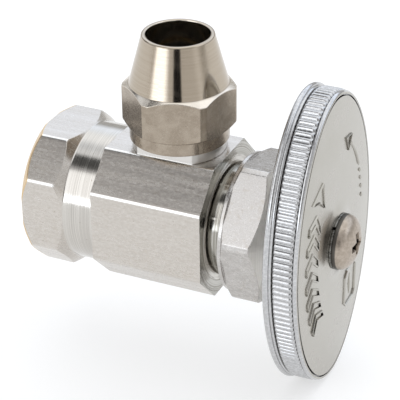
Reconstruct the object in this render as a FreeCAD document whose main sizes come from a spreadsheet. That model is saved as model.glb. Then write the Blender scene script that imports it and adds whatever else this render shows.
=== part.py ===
import FreeCAD, Part
import os
import re

import Sketcher

# Angle stop valve, built as it comes apart on a bench. Millimetres, +Z up.
# The origin is the centre of the inlet mouth, +X runs along the valve towards the handle,
# and the outlet stands up along +Z at outlet_x. The valve is modelled closed.

DIMENSIONS = {
    # Octagonal bar that the valve body is turned from
    "body_flats": 30.7,
    "body_corner": 7.4,
    "body_edge_round": 0.3,
    "block_end": 42.1,
    "outlet_x": 30.7,
    "neck_start": 9.8,
    "neck_end": 16.8,
    "neck_r": 15.25,
    "inlet_face_r": 15.7,
    "cut_r": 21.0,
    # Water way, from the inlet mouth to the seat and the stem chamber
    "inlet_thread_r": 10.55,
    "inlet_thread_length": 14.0,
    "inlet_lead_in": 0.5,
    "inlet_way_r": 7.6,
    "inlet_way_end": 20.8,
    "orifice_r": 4.4,
    "seat_x": 25.0,
    "seat_height": 0.8,
    "seat_r": 6.0,
    "chamber_r": 8.05,
    # Boss that the packing nut screws onto
    "collar_r": 12.4,
    "collar_length": 3.5,
    "boss_root": 2.0,
    "face_groove_r": 13.7,
    "face_groove_depth": 0.5,
    "bonnet_thread_r": 11.9,
    "bonnet_depth": 0.7,
    "bonnet_pitch": 1.27,
    "bonnet_turns": 2.0,
    "bonnet_end": 49.4,
    # Boss that the outlet nut screws onto, with the socket for the riser tube
    "outlet_block_half_length": 11.0,
    "outlet_block_half_width": 7.8,
    "outlet_collar_r": 10.0,
    "outlet_collar_top": 17.6,
    "outlet_thread_r": 8.65,
    "outlet_depth": 0.7,
    "outlet_pitch": 1.27,
    "outlet_turns": 7.0,
    "outlet_boss_top": 27.0,
    "outlet_boss_root": 11.0,
    "tube_socket_r": 6.55,
    "tube_socket_floor": 18.5,
    "tube_socket_bevel": 1.2,
    "outlet_port_r": 5.5,
    "outlet_port_floor": 5.0,
    # Outlet nut
    "outlet_nut_flats": 21.6,
    "outlet_nut_corner_r": 12.05,
    "outlet_nut_turn": 49.2,
    "outlet_nut_bottom": 17.7,
    "outlet_nut_skirt_r": 10.6,
    "outlet_nut_ledge": 20.5,
    "outlet_nut_hex_start": 21.4,
    "outlet_nut_hex_end": 29.0,
    "outlet_nut_cone_r": 10.5,
    "outlet_nut_cone_start": 30.1,
    "outlet_nut_rim_r": 7.58,
    "outlet_nut_top": 40.9,
    "outlet_nut_hole_r": 6.73,
    "outlet_nut_bore_r": 8.75,
    "outlet_nut_shoulder": 31.1,
    "rim_round": 0.35,
    # Outlet seal
    "cone_washer_r": 8.5,
    "cone_washer_hole_r": 6.5,
    "cone_washer_gap": 0.15,
    "cone_washer_top": 30.25,
    "friction_ring_r": 8.6,
    "friction_ring_hole_r": 6.9,
    "friction_ring_thickness": 0.75,
    # Packing nut
    "packing_nut_flats": 29.2,
    "packing_nut_corner_r": 16.5,
    "packing_nut_turn": 20.0,
    "packing_nut_start": 45.7,
    "packing_nut_washer_r": 15.2,
    "packing_nut_flats_start": 46.6,
    "packing_nut_hex_start": 47.35,
    "packing_nut_hex_end": 53.2,
    "packing_nut_nose_r": 12.4,
    "packing_nut_nose_x": 55.55,
    "packing_nut_hub_r": 7.0,
    "packing_nut_hub_bevel": 1.0,
    "packing_nut_end": 56.6,
    "packing_nut_bore_r": 12.0,
    "packing_nut_wall_x": 53.3,
    "packing_nut_hole_r": 4.75,
    # Packing, between the boss and the packing nut
    "packing_gap": 0.05,
    "packing_washer_r": 11.7,
    "packing_washer_thickness": 0.7,
    "packing_thickness": 2.2,
    "packing_hole_r": 4.65,
    "gland_ring_thickness": 0.75,
    # Stem
    "stem_shank_r": 4.6,
    "stem_thread_r": 7.95,
    "stem_depth": 0.95,
    "stem_pitch": 1.5875,
    "stem_thread_start": 36.6,
    "stem_turns": 5.0,
    "stem_neck_r": 6.0,
    "stem_front": 29.5,
    "stem_lip": 0.9,
    "stem_lip_hole_r": 2.35,
    "stem_socket_r": 3.5,
    "stem_socket_depth": 3.0,
    "spline_start": 59.2,
    "spline_end": 65.4,
    "spline_r": 4.3,
    "spline_teeth": 12.0,
    "spline_notch_width": 0.9,
    "spline_notch_depth": 0.5,
    "stem_screw_hole_r": 1.85,
    "stem_screw_hole_floor": 55.0,
    # Swivelling washer holder and seat washer
    "jumper_r": 7.2,
    "jumper_rim": 1.0,
    "jumper_rim_x": 25.9,
    "jumper_plate_x": 27.4,
    "jumper_back": 29.4,
    "jumper_pin_r": 2.2,
    "jumper_head_r": 3.3,
    "jumper_head_x": 30.5,
    "jumper_end": 32.2,
    "jumper_screw_hole_r": 1.5,
    "jumper_screw_hole_floor": 30.6,
    "seat_washer_r": 6.1,
    "seat_washer_x": 25.05,
    "seat_screw_head_r": 2.6,
    "seat_screw_head_height": 1.2,
    "seat_screw_head_land": 0.5,
    "seat_screw_head_bevel": 0.4,
    "seat_screw_r": 1.45,
    "seat_screw_end": 30.2,
    "seat_screw_slot": 0.7,
    "seat_screw_slot_depth": 0.6,
    # Handle
    "handle_turn": 2.5,
    "handle_half_height": 34.5,
    "handle_half_width": 22.5,
    "handle_back": 58.7,
    "handle_band_end": 60.8,
    "handle_grip_inset": 0.5,
    "handle_grip_end": 65.2,
    "handle_bead_inset": 0.9,
    "handle_front": 66.1,
    "handle_dome_inset": 3.5,
    "handle_dome_height": 0.45,
    "handle_wall": 2.2,
    "handle_hollow_end": 64.4,
    "handle_hub_r": 7.2,
    "handle_hub_back": 58.3,
    "handle_rib": 1.6,
    "handle_rib_back": 60.4,
    "handle_socket_clearance": 0.04,
    "handle_shank_clearance": 0.3,
    "handle_shank_stop": 0.2,
    "handle_socket_end": 65.5,
    "handle_pad_r": 6.2,
    "handle_pad_flare": 4.0,
    "handle_pad_x": 66.9,
    "handle_screw_clearance_r": 2.15,
    # Handle screw and its lock washer
    "screw_washer_r": 6.1,
    "screw_washer_hole_r": 2.1,
    "screw_washer_thickness": 0.5,
    "screw_head_r": 6.0,
    "screw_head_height": 3.8,
    "screw_head_round": 2.6,
    "screw_shank_r": 1.8,
    "screw_length": 11.0,
    "screw_point": 0.8,
    "screw_point_bevel": 0.6,
    "screw_recess_width": 1.1,
    "screw_recess_span": 5.0,
    "screw_recess_depth": 1.5,
    # Corner radius and half side of a regular hexagon, as shares of its width across flats
    "hex_corner": 0.57735,
    "hex_half_side": 0.288675,
    # Share of a thread's pitch before and after the flat crest of a ridge
    "crest_start": 0.4,
    "crest_end": 0.6,
}

doc = FreeCAD.newDocument("AngleStopValve")
sheet = doc.addObject("Spreadsheet::Sheet", "Dimensions")
for row, (alias, number) in enumerate(DIMENSIONS.items(), start=1):
    sheet.set("A%d" % row, alias)
    sheet.set("B%d" % row, str(number))
    sheet.setAlias("B%d" % row, alias)
doc.recompute()

X_AXIS = FreeCAD.Vector(1, 0, 0)
Z_AXIS = FreeCAD.Vector(0, 0, 1)
AXIS_LINE = 10.0  # length of the construction line that an upright boss is turned about
FULL_TURN = 360.0
LEAST_CUT = 1e-3  # volume that a pocket must at least remove
SAME_LENGTH = 1e-6
PARTS = []


def value(expression):
    """The number that a sum of products of sheet aliases and plain numbers comes to."""
    total = 0.0
    for sign, term in re.findall(r"([+-]?)\s*([^+-]+)", expression):
        product = 1.0
        for operator, factor in re.findall(r"([*/]?)\s*([\w.]+)", term):
            number = sheet.get(factor) if factor[0].isalpha() else float(factor)
            product = product / number if operator == "/" else product * number
        total += -product if sign == "-" else product
    return total


def bind(target, property_path, expression):
    """Ties a property or constraint to the sheet."""
    target.setExpression(property_path, re.sub(r"[a-z]\w*", r"Dimensions.\g<0>", expression))


def new_body(label, axis=None, turn=None, x=None):
    """A body of its own for one piece, shifted along X and turned about its axis where it needs it."""
    body = doc.addObject("PartDesign::Body", label)
    body.Label = label
    if axis is not None:
        body.Placement = FreeCAD.Placement(FreeCAD.Vector(), FreeCAD.Rotation(axis, 1))
        bind(body, "Placement.Rotation.Angle", turn)
    if x is not None:
        bind(body, "Placement.Base.x", x)
    PARTS.append(body)
    return body


def new_sketch(body, name, role, offset=None):
    """A sketch on one of the body's own origin planes, lifted off it by offset."""
    sketch = body.newObject("Sketcher::SketchObject", name)
    plane = [feature for feature in body.Origin.OriginFeatures if feature.Role == role][0]
    sketch.AttachmentSupport = (plane, [""])
    sketch.MapMode = "FlatFace"
    if offset is not None:
        bind(sketch, "AttachmentOffset.Base.z", offset)
    return sketch


def add_outline(sketch, points):
    """A closed outline of straight lines whose corners are dimensioned from the sketch's origin."""
    first = sketch.GeometryCount
    corners = [FreeCAD.Vector(value(u), value(v), 0) for u, v in points]
    count = len(corners)
    sketch.addGeometry(
        [Part.LineSegment(corners[i], corners[(i + 1) % count]) for i in range(count)], False
    )
    joins = [
        Sketcher.Constraint("Coincident", first + i, 2, first + (i + 1) % count, 1)
        for i in range(count)
    ]
    sketch.addConstraint(joins)
    for i, (u, v) in enumerate(points):
        for kind, expression, number in (("DistanceX", u, corners[i].x), ("DistanceY", v, corners[i].y)):
            index = sketch.addConstraint(Sketcher.Constraint(kind, -1, 1, first + i, 1, number))
            bind(sketch, "Constraints[%d]" % index, expression)


def add_circle(sketch, radius):
    """A circle about the sketch's origin."""
    circle = sketch.addGeometry(Part.Circle(FreeCAD.Vector(), Z_AXIS, value(radius)), False)
    sketch.addConstraint(Sketcher.Constraint("Coincident", circle, 3, -1, 1))
    index = sketch.addConstraint(Sketcher.Constraint("Radius", circle, value(radius)))
    bind(sketch, "Constraints[%d]" % index, radius)


def add_ellipse(sketch, half_height, half_width):
    """An ellipse about the sketch's origin, tall along the sketch's vertical axis."""
    tall, wide = value(half_height), value(half_width)
    curve = Part.Ellipse(FreeCAD.Vector(0, tall, 0), FreeCAD.Vector(wide, 0, 0), FreeCAD.Vector())
    ellipse = sketch.addGeometry(curve, False)
    major = sketch.addGeometry(
        Part.LineSegment(FreeCAD.Vector(0, -tall, 0), FreeCAD.Vector(0, tall, 0)), True
    )
    minor = sketch.addGeometry(
        Part.LineSegment(FreeCAD.Vector(-wide, 0, 0), FreeCAD.Vector(wide, 0, 0)), True
    )
    sketch.addConstraint(
        [
            Sketcher.Constraint("InternalAlignment:EllipseMajorDiameter", major, ellipse),
            Sketcher.Constraint("InternalAlignment:EllipseMinorDiameter", minor, ellipse),
            Sketcher.Constraint("Coincident", ellipse, 3, -1, 1),
            Sketcher.Constraint("Vertical", major),
        ]
    )
    for line, size, length in ((major, half_height, tall), (minor, half_width, wide)):
        index = sketch.addConstraint(Sketcher.Constraint("Distance", line, 1, line, 2, 2 * length))
        bind(sketch, "Constraints[%d]" % index, "2 * " + size.replace(" - ", " - 2 * "))


def turn_about(body, kind, name, points, axis="H_Axis"):
    """Turns an outline about an axis of its sketch: kind is Revolution to add or Groove to cut."""
    sketch = new_sketch(body, name + "_outline", "XZ_Plane")
    add_outline(sketch, points)
    feature = body.newObject("PartDesign::" + kind, name)
    feature.Profile = sketch
    feature.ReferenceAxis = (sketch, [axis])
    feature.Angle = FULL_TURN
    doc.recompute()
    return feature


def turn_boss(body, kind, name, points, x):
    """Turns an outline about a vertical line at x. The outline's points are (x, z)."""
    sketch = new_sketch(body, name + "_outline", "XZ_Plane")
    add_outline(sketch, points)
    foot = FreeCAD.Vector(value(x), 0, 0)
    line = sketch.addGeometry(Part.LineSegment(foot, foot + FreeCAD.Vector(0, AXIS_LINE, 0)), True)
    sketch.addConstraint(
        [
            Sketcher.Constraint("Vertical", line),
            Sketcher.Constraint("PointOnObject", line, 1, -1),
            Sketcher.Constraint("DistanceY", line, 1, line, 2, AXIS_LINE),
        ]
    )
    index = sketch.addConstraint(Sketcher.Constraint("DistanceX", -1, 1, line, 1, foot.x))
    bind(sketch, "Constraints[%d]" % index, x)
    feature = body.newObject("PartDesign::" + kind, name)
    feature.Profile = sketch
    feature.ReferenceAxis = (sketch, ["Axis0"])
    feature.Angle = FULL_TURN
    doc.recompute()
    return feature


def pad(body, name, sketch, length):
    """Raises a sketch along its plane's normal."""
    feature = body.newObject("PartDesign::Pad", name)
    feature.Profile = sketch
    bind(feature, "Length", length)
    doc.recompute()
    return feature


def pocket(body, name, sketch, length):
    """Cuts a sketch out along its plane's normal, and makes sure that something was cut."""
    before = body.Shape.Volume
    feature = body.newObject("PartDesign::Pocket", name)
    feature.Profile = sketch
    feature.Reversed = True
    bind(feature, "Length", length)
    doc.recompute()
    if not body.Shape.Volume < before - LEAST_CUT:
        raise RuntimeError("pocket %s cuts nothing" % name)
    return feature


def cut_flats(body, name, role, flats, start, end, clear_r):
    """Mills six flats between two stations of a turned blank."""
    sketch = new_sketch(body, name + "_outline", role, start)
    half = flats + " / 2"
    corner = flats + " * hex_corner"
    side = flats + " * hex_half_side"
    add_outline(
        sketch,
        [
            (half, side), ("0", corner), ("-" + half, side),
            ("-" + half, "-" + side), ("0", "-" + corner), (half, "-" + side),
        ],
    )
    add_circle(sketch, clear_r)
    pocket(body, name, sketch, end + " - " + start)


def thread_ridges(start, thread, crest):
    """Outline points of a run of V ridges, named for the sheet's rows of that thread."""
    pitch, root = thread + "_pitch", crest + " - " + thread + "_depth"
    turns = int(value(thread + "_turns"))
    points = []
    for i in range(turns):
        foot = "%s + %d * %s" % (start, i, pitch)
        points.append((foot, root))
        points.append((foot + " + crest_start * " + pitch, crest))
        points.append((foot + " + crest_end * " + pitch, crest))
    points.append(("%s + %d * %s" % (start, turns, pitch), root))
    return points


def ring(label, start, end, hole_r, outer_r, x=None, upright=False):
    """A plain washer about the valve's axis, or about the outlet's axis if upright."""
    body = new_body(label, x=x)
    points = [(start, hole_r), (end, hole_r), (end, outer_r), (start, outer_r)]
    if upright:
        turn_about(body, "Revolution", label + "_turned", [(r, z) for z, r in points], "V_Axis")
    else:
        turn_about(body, "Revolution", label + "_turned", points)
    return body


def make_valve_body():
    body = new_body("valve_body")
    flat = "body_flats / 2"
    corner = "body_flats / 2 - body_corner"
    minus_flat = "-body_flats / 2"
    minus_corner = "-body_flats / 2 + body_corner"
    bar = new_sketch(body, "bar_section", "YZ_Plane")
    add_outline(
        bar,
        [
            (flat, corner), (corner, flat), (minus_corner, flat), (minus_flat, corner),
            (minus_flat, minus_corner), (minus_corner, minus_flat), (corner, minus_flat),
            (flat, minus_corner),
        ],
    )
    bar_pad = pad(body, "bar", bar, "block_end")
    long_edges = [
        "Edge%d" % (i + 1)
        for i, edge in enumerate(bar_pad.Shape.Edges)
        if abs(edge.Length - value("block_end")) < SAME_LENGTH
    ]
    rounds = body.newObject("PartDesign::Fillet", "bar_edges")
    rounds.Base = (bar_pad, long_edges)
    bind(rounds, "Radius", "body_edge_round")
    doc.recompute()

    # The collar and the threaded boss on the handle side
    boss = [("block_end - boss_root", "0"), ("block_end - boss_root", "collar_r")]
    boss.append(("block_end + collar_length", "collar_r"))
    boss += thread_ridges("block_end + collar_length", "bonnet", "bonnet_thread_r")
    boss.append(("bonnet_end", "bonnet_thread_r - bonnet_depth"))
    boss.append(("bonnet_end", "0"))
    turn_about(body, "Revolution", "bonnet_boss", boss)

    # The outlet boss: a block as wide as the top flat, its ends turned round, with the thread on top
    block = new_sketch(body, "outlet_block_outline", "XY_Plane", "outlet_boss_root")
    left, right = "outlet_x - outlet_block_half_length", "outlet_x + outlet_block_half_length"
    front, back = "-outlet_block_half_width", "outlet_block_half_width"
    add_outline(block, [(left, front), (right, front), (right, back), (left, back)])
    pad(body, "outlet_block", block, "outlet_collar_top - outlet_boss_root")
    turn_boss(
        body, "Groove", "outlet_collar",
        [
            ("outlet_x + outlet_collar_r", "body_flats / 2"), ("outlet_x + cut_r", "body_flats / 2"),
            ("outlet_x + cut_r", "outlet_collar_top"), ("outlet_x + outlet_collar_r", "outlet_collar_top"),
        ],
        "outlet_x",
    )
    riser = [("outlet_x", "outlet_collar_top")]
    ridges = thread_ridges("outlet_collar_top", "outlet", "outlet_thread_r")
    riser += [("outlet_x + " + r, z) for z, r in ridges]
    riser.append(("outlet_x + outlet_thread_r - outlet_depth", "outlet_boss_top"))
    riser.append(("outlet_x", "outlet_boss_top"))
    turn_boss(body, "Revolution", "outlet_boss", riser, "outlet_x")

    # Turning: the chamfered inlet end, the neck, and the groove round the collar
    turn_about(
        body, "Groove", "inlet_chamfer",
        [("0", "inlet_face_r"), ("cut_r - inlet_face_r", "cut_r"), ("0", "cut_r")],
    )
    turn_about(
        body, "Groove", "neck",
        [
            ("neck_start", "neck_r"), ("neck_end", "neck_r"), ("neck_end", "cut_r"),
            ("neck_start + neck_r - cut_r", "cut_r"),
        ],
    )
    turn_about(
        body, "Groove", "face_groove",
        [
            ("block_end", "collar_r"), ("block_end", "face_groove_r"),
            ("block_end - face_groove_depth", "face_groove_r - face_groove_depth"),
            ("block_end - face_groove_depth", "collar_r"),
        ],
    )

    # Boring: the inlet and orifice, the stem chamber round its raised seat, and the outlet
    turn_about(
        body, "Groove", "inlet_way",
        [
            ("0", "0"), ("0", "inlet_thread_r + inlet_lead_in"), ("inlet_lead_in", "inlet_thread_r"),
            ("inlet_thread_length", "inlet_thread_r"),
            ("inlet_thread_length + inlet_thread_r - inlet_way_r", "inlet_way_r"),
            ("inlet_way_end", "inlet_way_r"), ("inlet_way_end", "orifice_r"),
            ("seat_x", "orifice_r"), ("seat_x", "0"),
        ],
    )
    turn_about(
        body, "Groove", "stem_chamber",
        [
            ("bonnet_end", "0"), ("bonnet_end", "chamber_r"),
            ("seat_x - seat_height", "chamber_r"), ("seat_x - seat_height", "seat_r"),
            ("seat_x", "seat_r"), ("seat_x", "0"),
        ],
    )
    turn_boss(
        body, "Groove", "outlet_way",
        [
            ("outlet_x", "outlet_port_floor"),
            ("outlet_x + outlet_port_r", "outlet_port_floor"),
            ("outlet_x + outlet_port_r", "tube_socket_floor"),
            ("outlet_x + tube_socket_r", "tube_socket_floor"),
            ("outlet_x + tube_socket_r", "outlet_boss_top - tube_socket_bevel"),
            ("outlet_x + tube_socket_r + tube_socket_bevel", "outlet_boss_top"),
            ("outlet_x", "outlet_boss_top"),
        ],
        "outlet_x",
    )


def make_outlet_nut():
    body = new_body("outlet_nut", Z_AXIS, "outlet_nut_turn", "outlet_x")
    turn_about(
        body, "Revolution", "outlet_nut_turned",
        [
            ("outlet_nut_bore_r", "outlet_nut_bottom"),
            ("outlet_nut_skirt_r", "outlet_nut_bottom"),
            ("outlet_nut_skirt_r", "outlet_nut_ledge"),
            ("outlet_nut_corner_r", "outlet_nut_hex_start"),
            ("outlet_nut_corner_r", "outlet_nut_hex_end"),
            ("outlet_nut_cone_r", "outlet_nut_cone_start"),
            ("outlet_nut_rim_r", "outlet_nut_top - rim_round"),
            ("outlet_nut_rim_r - rim_round", "outlet_nut_top"),
            ("outlet_nut_hole_r", "outlet_nut_top"),
            ("outlet_nut_hole_r", "outlet_nut_shoulder"),
            ("outlet_nut_bore_r", "outlet_nut_shoulder"),
        ],
        "V_Axis",
    )
    cut_flats(
        body, "outlet_nut_hex", "XY_Plane", "outlet_nut_flats",
        "outlet_nut_ledge", "outlet_nut_shoulder", "cut_r",
    )


def make_outlet_seal():
    body = new_body("outlet_cone_washer", x="outlet_x")
    bevel_top = "outlet_boss_top + cone_washer_gap"
    turn_about(
        body, "Revolution", "cone_washer_turned",
        [
            ("cone_washer_hole_r", "outlet_boss_top - tube_socket_bevel + cone_washer_gap"),
            ("cone_washer_hole_r + tube_socket_bevel", bevel_top),
            ("cone_washer_r", bevel_top),
            ("cone_washer_r", "cone_washer_top"),
            ("cone_washer_hole_r", "cone_washer_top"),
        ],
        "V_Axis",
    )
    ring(
        "outlet_friction_ring", "cone_washer_top", "cone_washer_top + friction_ring_thickness",
        "friction_ring_hole_r", "friction_ring_r", x="outlet_x", upright=True,
    )


def make_packing_nut():
    body = new_body("packing_nut", X_AXIS, "packing_nut_turn")
    turn_about(
        body, "Revolution", "packing_nut_turned",
        [
            ("packing_nut_start", "packing_nut_bore_r"),
            ("packing_nut_start", "packing_nut_washer_r"),
            ("packing_nut_flats_start", "packing_nut_washer_r"),
            ("packing_nut_hex_start", "packing_nut_corner_r"),
            ("packing_nut_hex_end", "packing_nut_corner_r"),
            ("packing_nut_nose_x", "packing_nut_nose_r"),
            ("packing_nut_nose_x", "packing_nut_hub_r"),
            ("packing_nut_end", "packing_nut_hub_r - packing_nut_hub_bevel"),
            ("packing_nut_end", "packing_nut_hole_r"),
            ("packing_nut_wall_x", "packing_nut_hole_r"),
            ("packing_nut_wall_x", "packing_nut_bore_r"),
        ],
    )
    cut_flats(
        body, "packing_nut_hex", "YZ_Plane", "packing_nut_flats",
        "packing_nut_flats_start", "packing_nut_nose_x", "cut_r",
    )


def make_packing():
    washer = "bonnet_end + packing_gap"
    packing = washer + " + packing_washer_thickness + packing_gap"
    gland = packing + " + packing_thickness + packing_gap"
    for label, start, thickness, hole_r in (
        ("packing_washer", washer, "packing_washer_thickness", "packing_nut_hole_r"),
        ("stem_packing", packing, "packing_thickness", "packing_hole_r"),
        ("gland_ring", gland, "gland_ring_thickness", "packing_nut_hole_r"),
    ):
        ring(label, start, start + " + " + thickness, hole_r, "packing_washer_r")


def make_stem():
    body = new_body("stem")
    ridges = thread_ridges("stem_thread_start", "stem", "stem_thread_r")
    profile = [
        ("stem_front", "stem_lip_hole_r"), ("stem_front", "stem_neck_r"),
        ("stem_thread_start", "stem_neck_r"),
    ]
    profile += ridges
    profile += [
        ("stem_thread_start + stem_turns * stem_pitch", "stem_shank_r"),
        ("spline_start", "stem_shank_r"), ("spline_start", "spline_r"),
        ("spline_end", "spline_r"), ("spline_end", "stem_screw_hole_r"),
        ("stem_screw_hole_floor", "stem_screw_hole_r"), ("stem_screw_hole_floor", "0"),
        ("stem_front + stem_lip + stem_socket_depth", "0"),
        ("stem_front + stem_lip + stem_socket_depth", "stem_socket_r"),
        ("stem_front + stem_lip", "stem_socket_r"), ("stem_front + stem_lip", "stem_lip_hole_r"),
    ]
    turn_about(body, "Revolution", "stem_turned", profile)
    notch = new_sketch(body, "spline_notch_outline", "YZ_Plane", "spline_start")
    add_outline(
        notch,
        [
            ("-spline_notch_width / 2", "spline_r + spline_notch_depth"),
            ("0", "spline_r - spline_notch_depth"),
            ("spline_notch_width / 2", "spline_r + spline_notch_depth"),
        ],
    )
    first_notch = pocket(body, "spline_notch", notch, "spline_end - spline_start")
    spline = body.newObject("PartDesign::PolarPattern", "spline")
    spline.Originals = [first_notch]
    spline.Axis = (notch, ["N_Axis"])
    spline.Angle = FULL_TURN
    bind(spline, "Occurrences", "spline_teeth")
    body.Tip = spline
    doc.recompute()


def make_washer_holder():
    body = new_body("seat_jumper")
    turn_about(
        body, "Revolution", "jumper_turned",
        [
            ("jumper_rim_x", "jumper_r - jumper_rim"), ("jumper_rim_x", "jumper_r"),
            ("jumper_back", "jumper_r"), ("jumper_back", "jumper_pin_r"),
            ("jumper_head_x", "jumper_pin_r"), ("jumper_head_x", "jumper_head_r"),
            ("jumper_end", "jumper_head_r"), ("jumper_end", "0"),
            ("jumper_screw_hole_floor", "0"), ("jumper_screw_hole_floor", "jumper_screw_hole_r"),
            ("jumper_plate_x", "jumper_screw_hole_r"), ("jumper_plate_x", "jumper_r - jumper_rim"),
        ],
    )
    ring("seat_washer", "seat_washer_x", "jumper_plate_x", "jumper_screw_hole_r", "seat_washer_r")
    screw = new_body("seat_washer_screw")
    turn_about(
        screw, "Revolution", "seat_screw_turned",
        [
            ("seat_washer_x - seat_screw_head_height", "0"),
            ("seat_washer_x - seat_screw_head_height", "seat_screw_head_r - seat_screw_head_bevel"),
            ("seat_washer_x - seat_screw_head_land", "seat_screw_head_r"),
            ("seat_washer_x", "seat_screw_head_r"), ("seat_washer_x", "seat_screw_r"),
            ("seat_screw_end", "seat_screw_r"), ("seat_screw_end", "0"),
        ],
    )
    front = "seat_washer_x - seat_screw_head_height"
    slot = new_sketch(screw, "seat_screw_slot_outline", "YZ_Plane", front)
    right, top = "seat_screw_slot / 2", "seat_screw_head_r"
    add_outline(slot, [("-" + right, "-" + top), (right, "-" + top), (right, top), ("-" + right, top)])
    pocket(screw, "seat_screw_slot_cut", slot, "seat_screw_slot_depth")


def cross(side, top, bottom, left, right):
    """Outline of a cross whose arms reach the four limits and are twice as wide as side."""
    return [
        (side, side), (side, top), ("-" + side, top), ("-" + side, side),
        (left, side), (left, "-" + side), ("-" + side, "-" + side), ("-" + side, bottom),
        (side, bottom), (side, "-" + side), (right, "-" + side), (right, side),
    ]


def oval(body, name, start, end, inset):
    """An oval plate of the handle between two stations, inset from its outer edge."""
    sketch = new_sketch(body, name + "_outline", "YZ_Plane", start)
    add_ellipse(sketch, "handle_half_height - " + inset, "handle_half_width - " + inset)
    return pad(body, name, sketch, end + " - " + start)


def make_handle():
    body = new_body("handle", X_AXIS, "handle_turn")
    oval(body, "back_band", "handle_back", "handle_band_end", "0")
    oval(body, "grip", "handle_band_end", "handle_grip_end", "handle_grip_inset")
    oval(body, "front_bead", "handle_grip_end", "handle_front", "handle_bead_inset")
    oval(body, "dome", "handle_front", "handle_front + handle_dome_height", "handle_dome_inset")
    turn_about(
        body, "Revolution", "screw_pad",
        [
            ("handle_grip_end", "0"), ("handle_grip_end", "handle_pad_r + handle_pad_flare"),
            ("handle_front + handle_dome_height", "handle_pad_r + handle_pad_flare"),
            ("handle_pad_x", "handle_pad_r"), ("handle_pad_x", "0"),
        ],
    )
    hollow = new_sketch(body, "hollow_outline", "YZ_Plane", "handle_back")
    add_ellipse(hollow, "handle_half_height - handle_wall", "handle_half_width - handle_wall")
    pocket(body, "hollow", hollow, "handle_hollow_end - handle_back")
    rib = new_sketch(body, "ribs_outline", "YZ_Plane", "handle_rib_back")
    side = "handle_rib / 2"
    top, bottom = "handle_half_height - handle_wall", "-handle_half_height + handle_wall"
    right, left = "handle_half_width - handle_wall", "-handle_half_width + handle_wall"
    add_outline(rib, cross(side, top, bottom, left, right))
    pad(body, "ribs", rib, "handle_hollow_end - handle_rib_back")
    turn_about(
        body, "Revolution", "hub",
        [
            ("handle_hub_back", "0"), ("handle_hub_back", "handle_hub_r"),
            ("handle_grip_end", "handle_hub_r"), ("handle_grip_end", "0"),
        ],
    )
    turn_about(
        body, "Groove", "spline_socket",
        [
            ("handle_hub_back", "0"), ("handle_hub_back", "stem_shank_r + handle_shank_clearance"),
            ("spline_start + handle_shank_stop", "stem_shank_r + handle_shank_clearance"),
            ("spline_start + handle_shank_stop", "spline_r + handle_socket_clearance"),
            ("handle_socket_end", "spline_r + handle_socket_clearance"),
            ("handle_socket_end", "handle_screw_clearance_r"),
            ("handle_pad_x", "handle_screw_clearance_r"), ("handle_pad_x", "0"),
        ],
    )


def make_handle_screw():
    ring(
        "screw_lock_washer", "handle_pad_x", "handle_pad_x + screw_washer_thickness",
        "screw_washer_hole_r", "screw_washer_r",
    )
    body = new_body("handle_screw")
    head = "handle_pad_x + screw_washer_thickness"
    turned = turn_about(
        body, "Revolution", "handle_screw_turned",
        [
            (head + " - screw_length", "0"),
            (head + " - screw_length", "screw_shank_r - screw_point_bevel"),
            (head + " - screw_length + screw_point", "screw_shank_r"), (head, "screw_shank_r"),
            (head, "screw_head_r"), (head + " + screw_head_height", "screw_head_r"),
            (head + " + screw_head_height", "0"),
        ],
    )
    crown = value(head + " + screw_head_height")
    rim = [
        "Edge%d" % (i + 1)
        for i, edge in enumerate(turned.Shape.Edges)
        if edge.BoundBox.XMin > crown - SAME_LENGTH and edge.BoundBox.YLength > value("screw_head_r")
    ]
    dome = body.newObject("PartDesign::Fillet", "head_dome")
    dome.Base = (turned, rim)
    bind(dome, "Radius", "screw_head_round")
    doc.recompute()
    recess = new_sketch(
        body, "recess_outline", "YZ_Plane", head + " + screw_head_height - screw_recess_depth"
    )
    reach = "screw_recess_span / 2"
    add_outline(recess, cross("screw_recess_width / 2", reach, "-" + reach, "-" + reach, reach))
    pocket(body, "recess", recess, "screw_recess_depth")


make_valve_body()
make_outlet_nut()
make_outlet_seal()
make_packing_nut()
make_packing()
make_stem()
make_washer_holder()
make_handle()
make_handle_screw()
doc.recompute()

for item in doc.Objects:
    if "Invalid" in item.State or "Error" in item.State:
        raise RuntimeError("%s is %s" % (item.Name, item.State))
for body in PARTS:
    if body.Shape.isNull() or not body.Shape.isValid() or len(body.Shape.Solids) != 1:
        raise RuntimeError("%s is not one valid solid" % body.Label)

os.makedirs("parts", exist_ok=True)
for body in PARTS:
    body.Shape.exportStep("parts/%s.step" % body.Label)
    print("%-22s %9.1f mm3" % (body.Label, body.Shape.Volume))
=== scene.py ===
import math

import bmesh
import bpy
from mathutils import Matrix, Vector


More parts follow.
